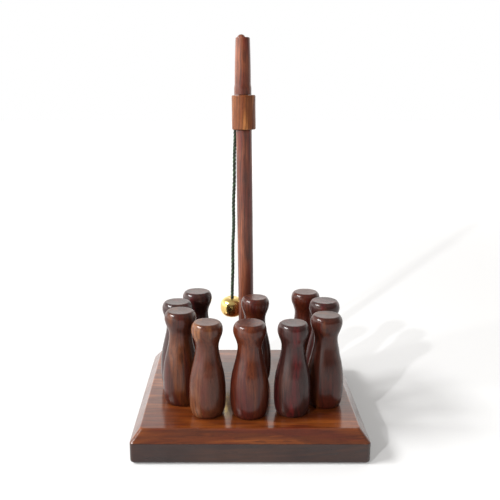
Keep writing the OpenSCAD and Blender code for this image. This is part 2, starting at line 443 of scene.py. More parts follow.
def handling_group() -> bpy.types.NodeTree:
    """Marks of use, from a place in millimetres: faint smears, fine scratches and dust specks.

    Smears are a slow noise and scratches two thin bands of a stretched noise turned across each
    other. Specks are the centres of small scattered cells.

    Returns:
        The group: Smear, Scratch and Speck masks and a Height.
    """
    inputs = {"Place": None, "Smear size": 14.0, "Scratch length": 6.0}
    outputs = {"Smear": "Float", "Scratch": "Float", "Speck": "Float", "Height": "Float"}
    group, w, given, result = node_group("marks of handling", inputs, outputs)
    place = given["Place"]
    smaller = w.math("DIVIDE", 1.0, given["Smear size"])
    smear = w.noise(place, smaller, 4.0, 0.6)
    across = w.math("DIVIDE", 1.0, given["Scratch length"])
    lines: list[Socket] = []
    for turn in (0.6, -0.9):
        spun = w.node("VectorRotate", {"rotation_type": "EULER_XYZ"}, Vector=place, Rotation=(turn, 0.4, turn))
        long = w.stretched(spun.outputs[0], 3.0, 3.0, 0.4)
        off = w.math("ABSOLUTE", w.math("SUBTRACT", w.noise(long, across, 3.0), 0.5))
        lines.append(w.spread(off, 0.0, 0.006, 1.0, 0.0))
    scratch = w.math("MAXIMUM", lines[0], lines[1])
    cells = w.node("TexVoronoi", None, Vector=place, Scale=0.35, Randomness=1.0).outputs["Distance"]
    speck = w.spread(cells, 0.03, 0.07, 1.0, 0.0)
    w.set(result["Smear"], w.spread(smear, 0.35, 0.7))
    w.set(result["Scratch"], scratch)
    w.set(result["Speck"], speck)
    w.set(result["Height"], w.math("MULTIPLY_ADD", scratch, -1.0, w.math("MULTIPLY", speck, 1.5)))
    return group


class Library:
    """The shader groups that several finishes share, each made once."""

    def __init__(self) -> None:
        """Builds the groups."""
        self.rosewood = rosewood_group()
        self.handling = handling_group()


def start_material(name: str) -> tuple[bpy.types.Material, Wiring, bpy.types.Node]:
    """A new material with a Principled shader on its output.

    Args:
        name: the material's name.

    Returns:
        The material, its wiring and its Principled node.
    """
    material = bpy.data.materials.new(name)
    material.use_nodes = True
    wiring = Wiring(material.node_tree)
    shader = wiring.node("BsdfPrincipled")
    wiring.node("OutputMaterial", None, Surface=shader.outputs[0])
    return material, wiring, shader


def place_in_mm(w: Wiring, shift: Sequence[float] = (0, 0, 0), turn: Sequence[float] = (0, 0, 0)) -> Socket:
    """The piece's own place in millimetres, shifted and then turned by degrees."""
    here = w.node("TexCoord").outputs["Object"]
    angles = tuple(math.radians(a) for a in turn)
    settings = {"vector_type": "POINT"}
    scaled = w.node("VectorMath", {"operation": "SCALE"}, i0=here, Scale=1.0 / MM).outputs[0]
    return w.node("Mapping", settings, Vector=scaled, Location=tuple(shift), Rotation=angles).outputs[0]


class Grain(Enum):
    """Which way the wood's fibres run, as the turn in degrees that brings them to Z."""

    UPRIGHT = (0.0, 0.0, 0.0)
    ACROSS = (0.0, 90.0, 0.0)


@dataclass(frozen=True)
class WoodFinish:
    """Polished or lacquered rosewood.

    Attributes:
        name: the material's name.
        dark, middle, pale, flush: colours of the streaks, the body of the wood, the pale zones
            and the reddest zones.
        pith: shift in millimetres that puts the pith beside the piece.
        tilt: turn of the grain off its usual way, in degrees.
        grain: which way the fibres run.
        spacing: ring spacing in millimetres.
        pale_share: how much of the piece is pale, from 0 to 1.
        streaks: strength of the dark streaks.
        roughness: roughness of the wood under its finish.
        coat: weight of the clear finish.
        coat_roughness: roughness of the clear finish.
        relief: depth of the pores and fibres in millimetres.
        ripple: depth of the finish's own slow waves in millimetres.
        shine: specular level of the wood under its finish.
        darkened_below: height in millimetres below which the wood is made dark, if it is. A weaker
            band of painted shade reaches 6 mm higher.
        dark_and_shade: colour of the dark below and of the painted shade.
    """

    name: str
    dark: Colour
    middle: Colour
    pale: Colour
    flush: Colour = (0.13, 0.022, 0.018)
    pith: Sequence[float] = (20.0, 12.0, 0.0)
    tilt: Sequence[float] = (2.0, 3.0, 0.0)
    grain: Grain = Grain.UPRIGHT
    spacing: float = 3.0
    pale_share: float = 0.45
    streaks: float = 0.6
    roughness: float = 0.42
    coat: float = 0.8
    coat_roughness: float = 0.12
    relief: float = 0.02
    ripple: float = 0.004
    shine: float = 0.06
    darkened_below: float | None = None
    dark_and_shade: Colour = (0.006, 0.004, 0.004)

    def build(self, library: Library) -> bpy.types.Material:
        """Makes the material.

        Args:
            library: the shared shader groups.

        Returns:
            The material.
        """
        material, w, shader = start_material(self.name)
        turn = [a + b for a, b in zip(self.grain.value, self.tilt)]
        place = place_in_mm(w, self.pith, turn)
        figure = w.node(
            "Group",
            {"node_tree": library.rosewood},
            Place=place,
            Dark=self.dark,
            Middle=self.middle,
            Pale=self.pale,
            Flush=self.flush,
            Ring_spacing=self.spacing,
            Pale_share=self.pale_share,
            Streaks=self.streaks,
        )
        marks = w.node("Group", {"node_tree": library.handling}, Place=place_in_mm(w, self.tilt))

        dust = w.math("MULTIPLY", marks.outputs["Speck"], 0.12)
        colour = w.mix(dust, figure.outputs["Color"], (0.35, 0.3, 0.27))
        colour = w.mix(w.math("MULTIPLY", marks.outputs["Scratch"], 0.1), colour, self.pale)
        # Darker below the given height; the weaker band up to 6 mm above it is painted shade.
        if self.darkened_below is not None:
            height = w.node("SeparateXYZ", None, Vector=place_in_mm(w)).outputs[2]
            wander = w.math("MULTIPLY_ADD", w.noise(place, 0.2, 3.0), 0.8, self.darkened_below - 0.4)
            depth = w.math("SUBTRACT", wander, height)
            full, faint = w.spread(depth, -0.3, 0.3, 0.0, 0.85), w.spread(depth, -7.6, -6.0, 0.0, 0.3)
            colour = w.mix(w.math("MAXIMUM", full, faint), colour, self.dark_and_shade)
        w.set(shader.inputs["Base Color"], colour)
        rough = w.math("MULTIPLY_ADD", figure.outputs["Pores"], 0.2, self.roughness)
        rough = w.math("MULTIPLY_ADD", marks.outputs["Smear"], 0.08, rough)
        w.set(shader.inputs["Roughness"], rough)
        coat = w.math("MULTIPLY_ADD", figure.outputs["Pores"], -0.35, self.coat)
        coat = w.math("MULTIPLY_ADD", marks.outputs["Smear"], -0.12, coat, clamp=True)
        w.set(shader.inputs["Coat Weight"], coat)
        shader.inputs["Coat Roughness"].default_value = self.coat_roughness
        shader.inputs["Coat IOR"].default_value = 1.5
        shader.inputs["Specular IOR Level"].default_value = self.shine

        wave = w.noise(place, 0.16, 2.0)
        height = w.math("MULTIPLY", figure.outputs["Height"], self.relief * MM)
        height = w.math("MULTIPLY_ADD", wave, self.ripple * MM * 8, height)
        height = w.math("MULTIPLY_ADD", marks.outputs["Height"], 0.003 * MM, height)
        w.relief(shader, height)
        return material


@dataclass(frozen=True)
class BrassFinish:
    """Polished brass with a warm tarnish in its hollows and fine rubbing marks."""

    name: str = "polished_brass"
    bright: Colour = (0.86, 0.62, 0.22)
    tarnish: Colour = (0.5, 0.27, 0.08)

    def build(self, library: Library) -> bpy.types.Material:
        """Makes the material from the shared shader groups."""
        material, w, shader = start_material(self.name)
        place = place_in_mm(w)
        finer = w.stretched(place, 2.0, 2.0, 2.0)
        marks = w.node("Group", {"node_tree": library.handling}, Place=finer)
        cloud = w.spread(w.noise(place, 0.35, 4.0, 0.6), 0.42, 0.75)
        edge = w.spread(w.node("NewGeometry").outputs["Pointiness"], 0.42, 0.5, 1.0, 0.0)
        dull = w.math("MAXIMUM", w.math("MULTIPLY", cloud, 0.4), edge)
        w.set(shader.inputs["Base Color"], w.mix(dull, self.bright, self.tarnish))
        shader.inputs["Metallic"].default_value = 1.0
        rough = w.math("MULTIPLY_ADD", dull, 0.15, 0.2)
        rough = w.math("MULTIPLY_ADD", marks.outputs["Smear"], 0.08, rough)
        w.set(shader.inputs["Roughness"], rough)
        dents = w.math("MULTIPLY", w.noise(place, 0.5, 2.0), 0.03 * MM)
        height = w.math("MULTIPLY_ADD", marks.outputs["Scratch"], -0.004 * MM, dents)
        w.relief(shader, height)
        return material


@dataclass(frozen=True)
class CordFinish:
    """Twisted cotton: strands of two colours, each with its own fine fibres."""

    name: str = "twisted_cord"
    green: Colour = (0.022, 0.05, 0.022)
    black: Colour = (0.008, 0.009, 0.008)
    lint: Colour = (0.07, 0.11, 0.06)
    shade: Colour = (0.002, 0.003, 0.002)

    def build(self) -> bpy.types.Material:
        """Makes the material; it reads the mesh's strand attribute for the colours."""
        material, w, shader = start_material(self.name)
        place = place_in_mm(w)
        strand = w.node("Attribute", {"attribute_name": "strand"}).outputs["Fac"]
        groove = w.node("Attribute", {"attribute_name": "groove"}).outputs["Fac"]
        fibre = w.noise(w.stretched(place, 5.0, 5.0, 2.2), 1.0, 4.0, 0.65)
        colour = w.mix(w.spread(strand, 0.3, 0.4), self.green, self.black)
        colour = w.mix(w.spread(fibre, 0.35, 0.75, 0.0, 0.5), colour, self.lint)
        # Painted shade: the grooves between the strands are darkened almost to black.
        colour = w.mix(w.math("MULTIPLY", groove, 0.85), colour, self.shade)
        w.set(shader.inputs["Base Color"], colour)
        w.set(shader.inputs["Roughness"], w.spread(fibre, 0.2, 0.8, 0.75, 0.95))
        shader.inputs["Sheen Weight"].default_value = 0.35
        shader.inputs["Sheen Roughness"].default_value = 0.5
        shader.inputs["Sheen Tint"].default_value = (0.35, 0.45, 0.32, 1.0)
        w.relief(shader, w.math("MULTIPLY", fibre, 0.12 * MM), 0.9)
        return material


@dataclass(frozen=True)
class BaizeFinish:
    """Pressed green wool: short tangled hairs, a little mottled."""

    name: str = "green_baize"
    deep: Colour = (0.012, 0.05, 0.022)
    light: Colour = (0.035, 0.12, 0.055)

    def build(self) -> bpy.types.Material:
        """Makes the material."""
        material, w, shader = start_material(self.name)
        place = place_in_mm(w)
        hair = w.noise(place, 2.6, 5.0, 0.75, 1.5)
        mottle = w.noise(place, 0.12, 3.0)
        colour = w.mix(w.spread(hair, 0.3, 0.7), self.deep, self.light)
        colour = w.mix(w.spread(mottle, 0.4, 0.7, 0.0, 0.3), colour, self.deep)
        w.set(shader.inputs["Base Color"], colour)
        w.set(shader.inputs["Roughness"], w.spread(hair, 0.2, 0.8, 0.85, 1.0))
        shader.inputs["Sheen Weight"].default_value = 0.5
        shader.inputs["Sheen Roughness"].default_value = 0.6
        w.relief(shader, w.math("MULTIPLY", hair, 0.25 * MM))
        return material


@dataclass(frozen=True)
class SteelFinish:
    """Zinc-plated screw steel with turning lines round its head."""

    name: str = "plated_steel"
    colour: Colour = (0.55, 0.55, 0.57)
    dulled: Colour = (0.3, 0.29, 0.27)

    def build(self, library: Library) -> bpy.types.Material:
        """Makes the material from the shared shader groups."""
        material, w, shader = start_material(self.name)
        place = place_in_mm(w)
        finer = w.stretched(place, 3.0, 3.0, 3.0)
        marks = w.node("Group", {"node_tree": library.handling}, Place=finer)
        spots = w.spread(w.noise(place, 1.2, 4.0, 0.6), 0.45, 0.7, 0.0, 0.5)
        w.set(shader.inputs["Base Color"], w.mix(spots, self.colour, self.dulled))
        shader.inputs["Metallic"].default_value = 1.0
        w.set(shader.inputs["Roughness"], w.math("MULTIPLY_ADD", marks.outputs["Smear"], 0.15, 0.28))
        height = w.math("MULTIPLY", w.noise(w.stretched(place, 1.0, 1.0, 12.0), 1.0, 2.0), 0.02 * MM)
        w.relief(shader, height)
        return material


# ---------------------------------------------------------------------------------------------
# The board
# ---------------------------------------------------------------------------------------------


@dataclass
class Board:
    """The lacquered board, the baize under it and the screw that holds the pole."""

    side_top: float = 14.1 * MM
    chamfer: float = 6.2 * MM
    corner: float = 2.8 * MM
    eased: float = 1.2 * MM
    foot_eased: float = 2.2 * MM
    pad_corner: float = 3.0 * MM
    pad_bulge: float = 0.3 * MM
    corner_steps: int = 10
    side_steps: int = 16

    def ring(self, half: float, corner: float) -> np.ndarray:
        """Points round a square with rounded corners, anticlockwise from the right side.

        Each side is a straight run and each corner a quarter circle of the given radius.

        Args:
            half: half the square's width.
            corner: radius of its corners.

        Returns:
            Points of shape (n, 2).
        """
        along = np.linspace(-1.0, 1.0, self.side_steps)
        a = np.radians(np.linspace(0, 90, self.corner_steps))[1:-1]
        inner = half - corner
        side = np.stack([np.full_like(along, half), along * inner], axis=1)
        bend = np.stack([inner + corner * np.cos(a), inner + corner * np.sin(a)], axis=1)
        quarter = np.concatenate([side, bend])
        turns = [np.array([[0, -1], [1, 0]]) if k else np.eye(2) for k in range(2)]
        whole, turn = [], turns[0]
        for _ in range(4):
            whole.append(quarter @ turn.T)
            turn = turns[1] @ turn
        return np.concatenate(whole)

    def section(self, low: float, high: float) -> np.ndarray:
        """The board's edge as (inset, height) points, from under its foot up to its top face.

        Args:
            low: height of the underside.
            high: height of the top face.

        Returns:
            Points of shape (n, 2), with a small round at each change of direction.
        """
        rise = high - self.side_top
        slope = math.atan2(rise, self.chamfer)
        e, f = self.eased, self.foot_eased
        slant = np.array([math.cos(slope), math.sin(slope)])
        reach = e * math.tan((math.pi / 2 - slope) / 2)
        upper = e * math.tan(slope / 2)
        knee, brow = np.array([0.0, self.side_top]), np.array([self.chamfer, high])

        def bend(corner: np.ndarray, before: np.ndarray, after: np.ndarray) -> np.ndarray:
            """A smooth turn at a corner: the quadratic curve that touches both of its sides."""
            t = np.linspace(0, 1, 6)[:, None]
            return (1 - t) ** 2 * before + 2 * t * (1 - t) * corner + t**2 * after

        support = 0.35 * MM
        return np.concatenate([
            line([f + support, low]),
            bend(np.array([0, low]), np.array([f, low]), np.array([0, low + f])),
            line([0, low + f + support], [0, self.side_top - reach - support]),
            bend(knee, knee - [0, reach], knee + slant * reach),
            line(knee + slant * (reach + support), brow - slant * (upper + support)),
            bend(brow, brow - slant * upper, brow + [upper, 0]),
            line([self.chamfer + upper + support, high]),
        ])

    def slab(self, name: str, edge: np.ndarray, half: float, corner: float) -> bpy.types.Object:
        """An edge carried round a square with rounded corners, closed below and above.

        Args:
            name: the piece's name.
            edge: (inset, height) points from the underside up to the top face.
            half: half the square's width where the inset is 0.
            corner: radius of its corners.

        Returns:
            The mesh object.
        """
        rings = []
        for inset, height in edge:
            flat = self.ring(half - inset, corner)
            rings.append(np.column_stack([flat, np.full(len(flat), height)]))
        ends = np.array([[0, 0, edge[0, 1]], [0, 0, edge[-1, 1]]], float)
        return ringed(name, np.stack(rings), ends)

    def pad_edge(self, low: float, high: float) -> np.ndarray:
        """The baize's cut edge as (inset, height) points: half an ellipse that bulges a little."""
        half = (high - low) / 2
        edge = arc((-self.pad_bulge, low + half), (self.pad_bulge, half), -90, 90, 7)
        return edge * [-1, 1]

    def build(self, library: Library, frame: dict[str, Any]) -> None:
        """Makes the board's pieces and dresses the screw."""
        low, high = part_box("base_board")
        finish = WoodFinish(
            "board_rosewood",
            dark=(0.022, 0.005, 0.003),
            middle=(0.12, 0.025, 0.005),
            pale=(0.23, 0.058, 0.01),
            flush=(0.095, 0.014, 0.005),
            pith=(0.0, 30.0, 40.0),
            tilt=(0.0, 2.0, 1.5),
            grain=Grain.ACROSS,
            spacing=4.5,
            pale_share=0.5,
            streaks=0.55,
            roughness=0.38,
            coat=1.0,
            coat_roughness=0.14,
            relief=0.008,
            ripple=0.002,
            # The board is darker below 14.2 mm, with painted shade on the chamfer above that.
            darkened_below=14.2,
        )
        board = self.slab("board", self.section(low.z, high.z), high.x, self.corner)
        finish_piece(board, finish.build(library), "stand", "board_wood", "base_board")
        low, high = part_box("felt_pad")
        pad = self.slab("baize_pad", self.pad_edge(low.z, high.z), high.x, self.pad_corner)
        finish_piece(pad, BaizeFinish().build(), "stand", "baize", "felt_pad")
        screw = frame["nodes"]["pole_screw"]
        screw.data.materials.clear()
        screw.data.materials.append(SteelFinish().build(library))


# ---------------------------------------------------------------------------------------------
# The pole and its collar
# ---------------------------------------------------------------------------------------------


@dataclass
class Pole:
    """The leaning pole, its top piece and the collar that turns between them.

    Heights are along the pole's own axis from the board's top face.
    """

    radius: float = 5.8 * MM
    seat: float = 0.3 * MM
    shoulder: float = 177.9 * MM
    spindle_radius: float = 3.5 * MM
    end_play: float = 0.1 * MM
    collar_length: float = 24.2 * MM
    collar_radius: float = 8.55 * MM
    collar_bore: float = 3.6 * MM
    rim: float = 0.9 * MM
    cord_hole_at: float = 7.1 * MM
    cord_hole_radius: float = 1.2 * MM
    cord_hole_depth: float = 12.0 * MM
    cord_side: float = 155.0
    top_length: float = 39.2 * MM
    tip_radius: float = 5.1 * MM
    swell: float = 0.45 * MM
    pip_radius: float = 2.8 * MM
    pip_height: float = 2.1 * MM
    pip_shift: float = 1.0 * MM
    top_offset: float = 0.5 * MM
    top_set_back: float = 0.57
    top_gap: float = 0.06 * MM

    def shaft(self, place: Placement) -> bpy.types.Object:
        """The pole with its spindle; its radius wanders by a few hundredths of a millimetre."""
        low, high = -self.seat, self.shoulder
        z = np.linspace(low, high - 0.4 * MM, 90)
        drift = 0.03 * MM * (np.sin(z * 61.0) + 0.6 * np.sin(z * 173.0 + 1.0)) - 0.04 * MM
        side = np.stack([self.radius + drift, z], axis=1)
        shoulder = arc((side[-1, 0] - 0.4 * MM, high - 0.4 * MM), (0.4 * MM, 0.4 * MM), 0, 90, 5)
        r = self.spindle_radius
        neck = [r, high + 0.2 * MM]
        spindle = line([r + 0.3 * MM, high], neck, [r, high + 30 * MM], [r - 0.6 * MM, high + 32 * MM])
        outline = np.concatenate([line([self.radius - 0.5 * MM, low]), side, shoulder[1:], spindle])
        return turned("pole_shaft", outline, place, 96)

    def top(self, place: Placement) -> bpy.types.Object:
        """The top piece: a swell over the collar, a taper, a rounded rim and the pip.

        It is glued on a little to the left and leans back towards upright.
        """
        start = self.shoulder + self.collar_length + 2 * self.end_play
        base = self.radius + self.swell - 0.03 * MM
        end, edge, ease = self.top_length, 0.8 * MM, 0.2 * MM
        lower = arc((base - ease, ease), (ease, ease), -90, 0, 5)
        z = np.linspace(0.6 * MM, end - edge, 60)
        t = z / MM
        waist = base - self.swell / (1 + np.exp(-(t - 6.0) / 0.55))
        fall = np.clip((t - 11.0) / (self.top_length / MM - 11.0), 0, 1)
        taper = (self.radius - self.tip_radius) * fall * (0.35 + 0.65 * fall)
        side = np.stack([waist - taper, z], axis=1)
        rim = arc((side[-1, 0] - edge, end - edge), (edge, edge), 0, 90, 8)
        flat = np.linspace(side[-1, 0] - edge, 0.05 * MM, 30)[1:]
        face = np.stack([flat, np.full_like(flat, end)], axis=1)

        def pip(x: np.ndarray, y: np.ndarray, z: np.ndarray) -> np.ndarray:
            """Height of the pip: a half ellipse over its distance from the pip's middle."""
            away = np.hypot(x + self.pip_shift, y) / self.pip_radius
            dome = np.sqrt(np.clip(1 - away**2, 0, 1)) ** 1.2
            return np.where(z > end - 0.01 * MM, self.pip_height * dome, 0.0)

        outline = np.concatenate([line([base - 1.2 * MM, 0.0]), lower, side, rim[1:], face])
        set_back = math.radians(self.top_set_back)
        matrix = place.matrix()
        foot = place.lay(np.array([-self.top_offset, 0.0, start + self.top_gap]))
        axis = matrix @ np.array([math.sin(set_back), 0.0, math.cos(set_back)])
        return turned("pole_top_piece", outline, Placement(foot, axis), 128, rise=pip)

    def sleeve(self, place: Placement) -> bpy.types.Object:
        """The collar: a bored sleeve with rounded rims, drilled up from below for the cord."""
        low = self.shoulder + self.end_play
        high = low + self.collar_length
        outer, rim, inner = self.collar_radius, self.rim, 0.3 * MM
        bore = self.collar_bore
        z = np.linspace(low + rim, high - rim, 30)[1:-1]
        drift = 0.025 * MM * np.sin((z - low) * 330.0) - 0.025 * MM
        outline = np.concatenate([
            arc((bore + inner, low + inner), (inner, inner), 180, 270, 4),
            arc((outer - rim, low + rim), (rim, rim), -90, 0, 9),
            np.stack([outer + drift, z], axis=1),
            arc((outer - rim, high - rim), (rim, rim), 0, 90, 9),
            arc((bore + inner, high - inner), (inner, inner), 90, 180, 4),
        ])
        sleeve = turned("collar_sleeve", outline, place, 128, bored=True)
        side = math.radians(self.cord_side)
        at = np.array([math.cos(side), math.sin(side), 0.0]) * self.cord_hole_at
        drill_place = Placement(place.lay(at + UP * low), place.axis)
        r, depth = self.cord_hole_radius, self.cord_hole_depth
        drill = turned("drill", line([r, -2 * MM], [r, depth]), drill_place, 40)
        cut = sleeve.modifiers.new("cord_hole", "BOOLEAN")
        cut.operation, cut.solver, cut.object = "DIFFERENCE", "EXACT", drill
        bpy.context.view_layer.update()
        shaped = bpy.data.meshes.new_from_object(sleeve.evaluated_get(bpy.context.evaluated_depsgraph_get()))
        sleeve.modifiers.clear()
        sleeve.data = shaped
        shaped.set_sharp_from_angle(angle=math.radians(50))
        bpy.data.objects.remove(drill)
        return sleeve

    def build(self, library: Library, place: Placement) -> None:
        """Makes the pole's pieces on the collar's turning axis."""
        wood = WoodFinish(
            "pole_rosewood",
            dark=(0.02, 0.005, 0.004),
            middle=(0.115, 0.027, 0.012),
            pale=(0.22, 0.066, 0.029),
            flush=(0.11, 0.016, 0.01),
            pith=(11.0, -30.0, 0.0),
            tilt=(1.0, 1.5, 30.0),
            spacing=2.6,
            pale_share=0.5,
            streaks=0.8,
            roughness=0.55,
            coat=0.8,
            coat_roughness=0.3,
            relief=0.02,
        )
        finish_piece(self.shaft(place), wood.build(library), "stand", "pole_wood", "pole")
        finish_piece(self.top(place), wood.build(library), "stand", "pole_wood", "pole_top")
        pale = WoodFinish(
            "collar_wood",
            dark=(0.05, 0.012, 0.004),
            middle=(0.145, 0.039, 0.01),
            pale=(0.36, 0.14, 0.042),
            flush=(0.14, 0.026, 0.009),
            pith=(14.0, -40.0, 0.0),
            tilt=(2.0, -2.0, 75.0),
            spacing=2.2,
            pale_share=0.6,
            streaks=0.9,
            roughness=0.55,
            coat=0.45,
            coat_roughness=0.34,
            relief=0.02,
        )
        finish_piece(self.sleeve(place), pale.build(library), "collar", "collar_wood", "collar")


# ---------------------------------------------------------------------------------------------
# The cord and the ball
# ---------------------------------------------------------------------------------------------


@dataclass
class Pendulum:
    """The twisted cord from the collar, the brass ball on it and the knot inside the ball."""

    # The cord's route in millimetres, from the point that it swings from down to the knot
    route: tuple[tuple[float, float, float], ...] = (
        (0, 0, 0), (-0.1, 0.4, -7), (-0.4, 0.8, -14), (-0.5, 1.1, -21), (-0.5, 1.5, -28),
        (-0.5, 2, -35), (-0.7, 2.4, -42), (-1, 2.7, -49), (-1.1, 3.1, -56), (-1, 3.6, -63),
        (-1, 4, -70), (-1.2, 4.3, -77), (-1.5, 4.7, -84), (-1.6, 5.1, -91), (-1.6, 5.6, -98),
        (-1.6, 6, -105), (-1.8, 6.3, -112), (-2, 6.7, -119), (-2.1, 7.1, -126), (-2.2, 7.5, -133),
        (-2.3, 7.8, -138.8),
    )
    hang: tuple[float, float, float] = (-2.2, 7.6, -135.4)
    cord_radius: float = 1.2 * MM
    cord_gap: float = 0.2 * MM
    glued: float = 11.9 * MM
    strands: int = 3
    lay_length: float = 8.5 * MM
    strand_radius: float = 0.72 * MM
    ball_radius: float = 9.0 * MM
    ball_height: float = 15.0 * MM
    ball_crown: float = 7.9 * MM
    ball_square: float = 2.6
    bore: float = 1.45 * MM
    pocket: float = 3.0 * MM
    pocket_depth: float = 4.0 * MM
    knot_gap: float = 0.1 * MM
    knot_height: float = 3.2 * MM

    def centreline(self, swing: np.ndarray, pole_axis: np.ndarray, step: float) -> np.ndarray:
        """The cord's middle line: up in the collar, then down the route on one smooth curve.

        Between two route points the curve is the Catmull-Rom cubic of the four points round them.

        Args:
            swing: the point that the cord swings from.
            pole_axis: direction of the hole in the collar.
            step: distance between the points returned.

        Returns:
            Points in the row frame, shape (n, 3).
        """
        under = self.cord_radius + self.cord_gap
        inside = [swing + pole_axis * (under + self.glued * share) for share in (1.0, 0.5, 0.1)]
        points = np.array([*inside, *(swing + np.array(p) * MM for p in self.route)])
        padded = np.concatenate([[2 * points[0] - points[1]], points, [2 * points[-1] - points[-2]]])
        before, start, end, after = padded[:-3, None], padded[1:-2, None], padded[2:-1, None], padded[3:, None]
        t = np.linspace(0, 1, 24, endpoint=False)[None, :, None]
        curve = 0.5 * (
            2 * start
            + (end - before) * t
            + (2 * before - 5 * start + 4 * end - after) * t**2
            + (3 * start - before - 3 * end + after) * t**3
        )
        dense = np.concatenate([curve.reshape(-1, 3), points[-1:]])
        along = np.concatenate([[0], np.cumsum(np.linalg.norm(np.diff(dense, axis=0), axis=1))])
        at = np.linspace(0, along[-1], int(along[-1] / step) + 1)
        return np.stack([np.interp(at, along, dense[:, k]) for k in range(3)], axis=1)

    def cord(self, middle: np.ndarray, sides: int = 36) -> bpy.types.Object:
        """The cord's skin: the outline of three round strands laid together, turning as it goes.

        At an angle f from the nearest strand's middle the skin is b cos f + sqrt(a^2 - b^2 sin^2 f)
        from the centreline, for strands of radius a whose middles are b from it. The whole outline
        turns once in each lay length.

        Args:
            middle: the centreline, evenly spaced.
            sides: points round the cord.

        Returns:
            The mesh object, with the attributes strand, 0 to 1 by strand, and groove, 1 between
            strands.
        """
        step = np.linalg.norm(np.diff(middle, axis=0), axis=1)
        along = np.concatenate([[0], np.cumsum(step)])
        tangent = np.gradient(middle, axis=0)
        tangent /= np.linalg.norm(tangent, axis=1)[:, None]
        ahead = np.cross(tangent, [1.0, 0.0, 0.0])
        ahead /= np.linalg.norm(ahead, axis=1)[:, None]
        right = np.cross(ahead, tangent)
        angle = np.linspace(0, 2 * math.pi, sides, endpoint=False)[None, :]
        loosened = 1 + 0.12 * np.sin(along * 95.0) + 0.08 * np.sin(along * 241.0 + 1.0)
        twist = 2 * math.pi * np.cumsum(np.concatenate([[0], step]) * loosened) / self.lay_length
        share = 2 * math.pi / self.strands
        turned_angle = (angle - twist[:, None]) % (2 * math.pi)
        from_strand = (turned_angle + share / 2) % share - share / 2
        a = self.strand_radius
        b = self.cord_radius + 0.02 * MM - a
        radius = b * np.cos(from_strand) + np.sqrt(a**2 - (b * np.sin(from_strand)) ** 2)
        clear = np.clip((along[:, None] - self.glued - 4 * MM) / (20 * MM), 0, 1)
        fray = 0.012 * MM * np.sin(angle * 11 + along[:, None] * 5200.0)
        radius = radius * (0.97 + 0.1 * clear) + fray
        ring = right[:, None] * np.cos(angle)[..., None] + ahead[:, None] * np.sin(angle)[..., None]
        rings = middle[:, None] + ring * radius[..., None]
        piece = ringed("hanging_cord", rings[::-1], middle[[-1, 0]])
        which = np.floor(((turned_angle + share / 2) % (2 * math.pi)) / share) / (self.strands - 1)
        deep = np.abs(from_strand) / (share / 2)
        for name, values in (("strand", which), ("groove", deep**5)):
            layer = piece.data.attributes.new(name, "FLOAT", "POINT")
            layer.data.foreach_set("value", np.append(values[::-1].ravel(), [0.0, 0.0]).astype(np.float32))
        return piece

    def ball(self, place: Placement) -> bpy.types.Object:
        """The ball: barrel-sided, faced flat, bored through, with the knot's pocket below.

        Its side keeps (radius / widest)^p + (height / crown)^p = 1 for its squareness p.

        Args:
            place: the ball's middle and the way from it up the cord.

        Returns:
            The mesh object.
        """
        half, rim = self.ball_height / 2, 0.25 * MM
        turn = np.linspace(-1.0, 1.0, 72)
        reach = (half - 0.03 * MM) / self.ball_crown
        rise = np.sin(turn * math.asin(reach ** (self.ball_square / 2)))
        z = self.ball_crown * np.sign(rise) * np.abs(rise) ** (2 / self.ball_square)
        side = self.ball_radius * (1 - np.abs(rise) ** 2) ** (1 / self.ball_square)
        flat = side[0]
        ceiling = -half + self.pocket_depth
        outline = np.concatenate([
            arc((self.pocket + rim, -half + rim), (rim, rim), 180, 270, 4),
            line([flat - 0.25 * MM, -half]),
            np.stack([side, z], axis=1),
            line([flat - 0.25 * MM, half]),
            arc((self.bore + rim, half - rim), (rim, rim), 90, 180, 4),
            line([self.bore, ceiling + rim]),
            line([self.bore + rim, ceiling], [self.pocket - rim, ceiling], [self.pocket, ceiling - rim]),
        ])
        piece = turned("brass_ball", outline, place, 128, bored=True)
        piece.data.set_sharp_from_angle(angle=math.radians(60))
        return piece

    def knot(self, place: Placement, sides: int = 20, steps: int = 180) -> bpy.types.Object:
        """The knot: a round tube along a trefoil, which winds twice round while it rises thrice.

        Args:
            place: the knot's middle and the way from it up the cord.
            sides: points round the tube.
            steps: rings along it.

        Returns:
            The mesh object.
        """
        tube, wide, tall = 0.72 * MM, 1.15 * MM, 0.85 * MM
        t = np.linspace(0, 2 * math.pi, steps, endpoint=False)
        away = wide + 0.5 * MM * np.cos(3 * t)
        middle = np.stack([away * np.cos(2 * t), away * np.sin(2 * t), tall * np.sin(3 * t)], axis=1)
        tangent = np.roll(middle, -1, axis=0) - np.roll(middle, 1, axis=0)
        tangent /= np.linalg.norm(tangent, axis=1)[:, None]
        outward = middle * [1, 1, 0]
        outward /= np.linalg.norm(outward, axis=1)[:, None]
        side = np.cross(tangent, outward)
        side /= np.linalg.norm(side, axis=1)[:, None]
        outward = np.cross(side, tangent)
        angle = np.linspace(0, 2 * math.pi, sides, endpoint=False)[None, :, None]
        rings = middle[:, None] + tube * (outward[:, None] * np.cos(angle) + side[:, None] * np.sin(angle))
        piece = ringed("ball_knot_tied", place.lay(rings), None)
        wound = np.broadcast_to(angle[..., 0], rings.shape[:2]) * 2 + t[:, None] * 16
        strand = (np.sin(wound) > 0).astype(float)
        layer = piece.data.attributes.new("strand", "FLOAT", "POINT")
        layer.data.foreach_set("value", strand.ravel().astype(np.float32))
        return piece

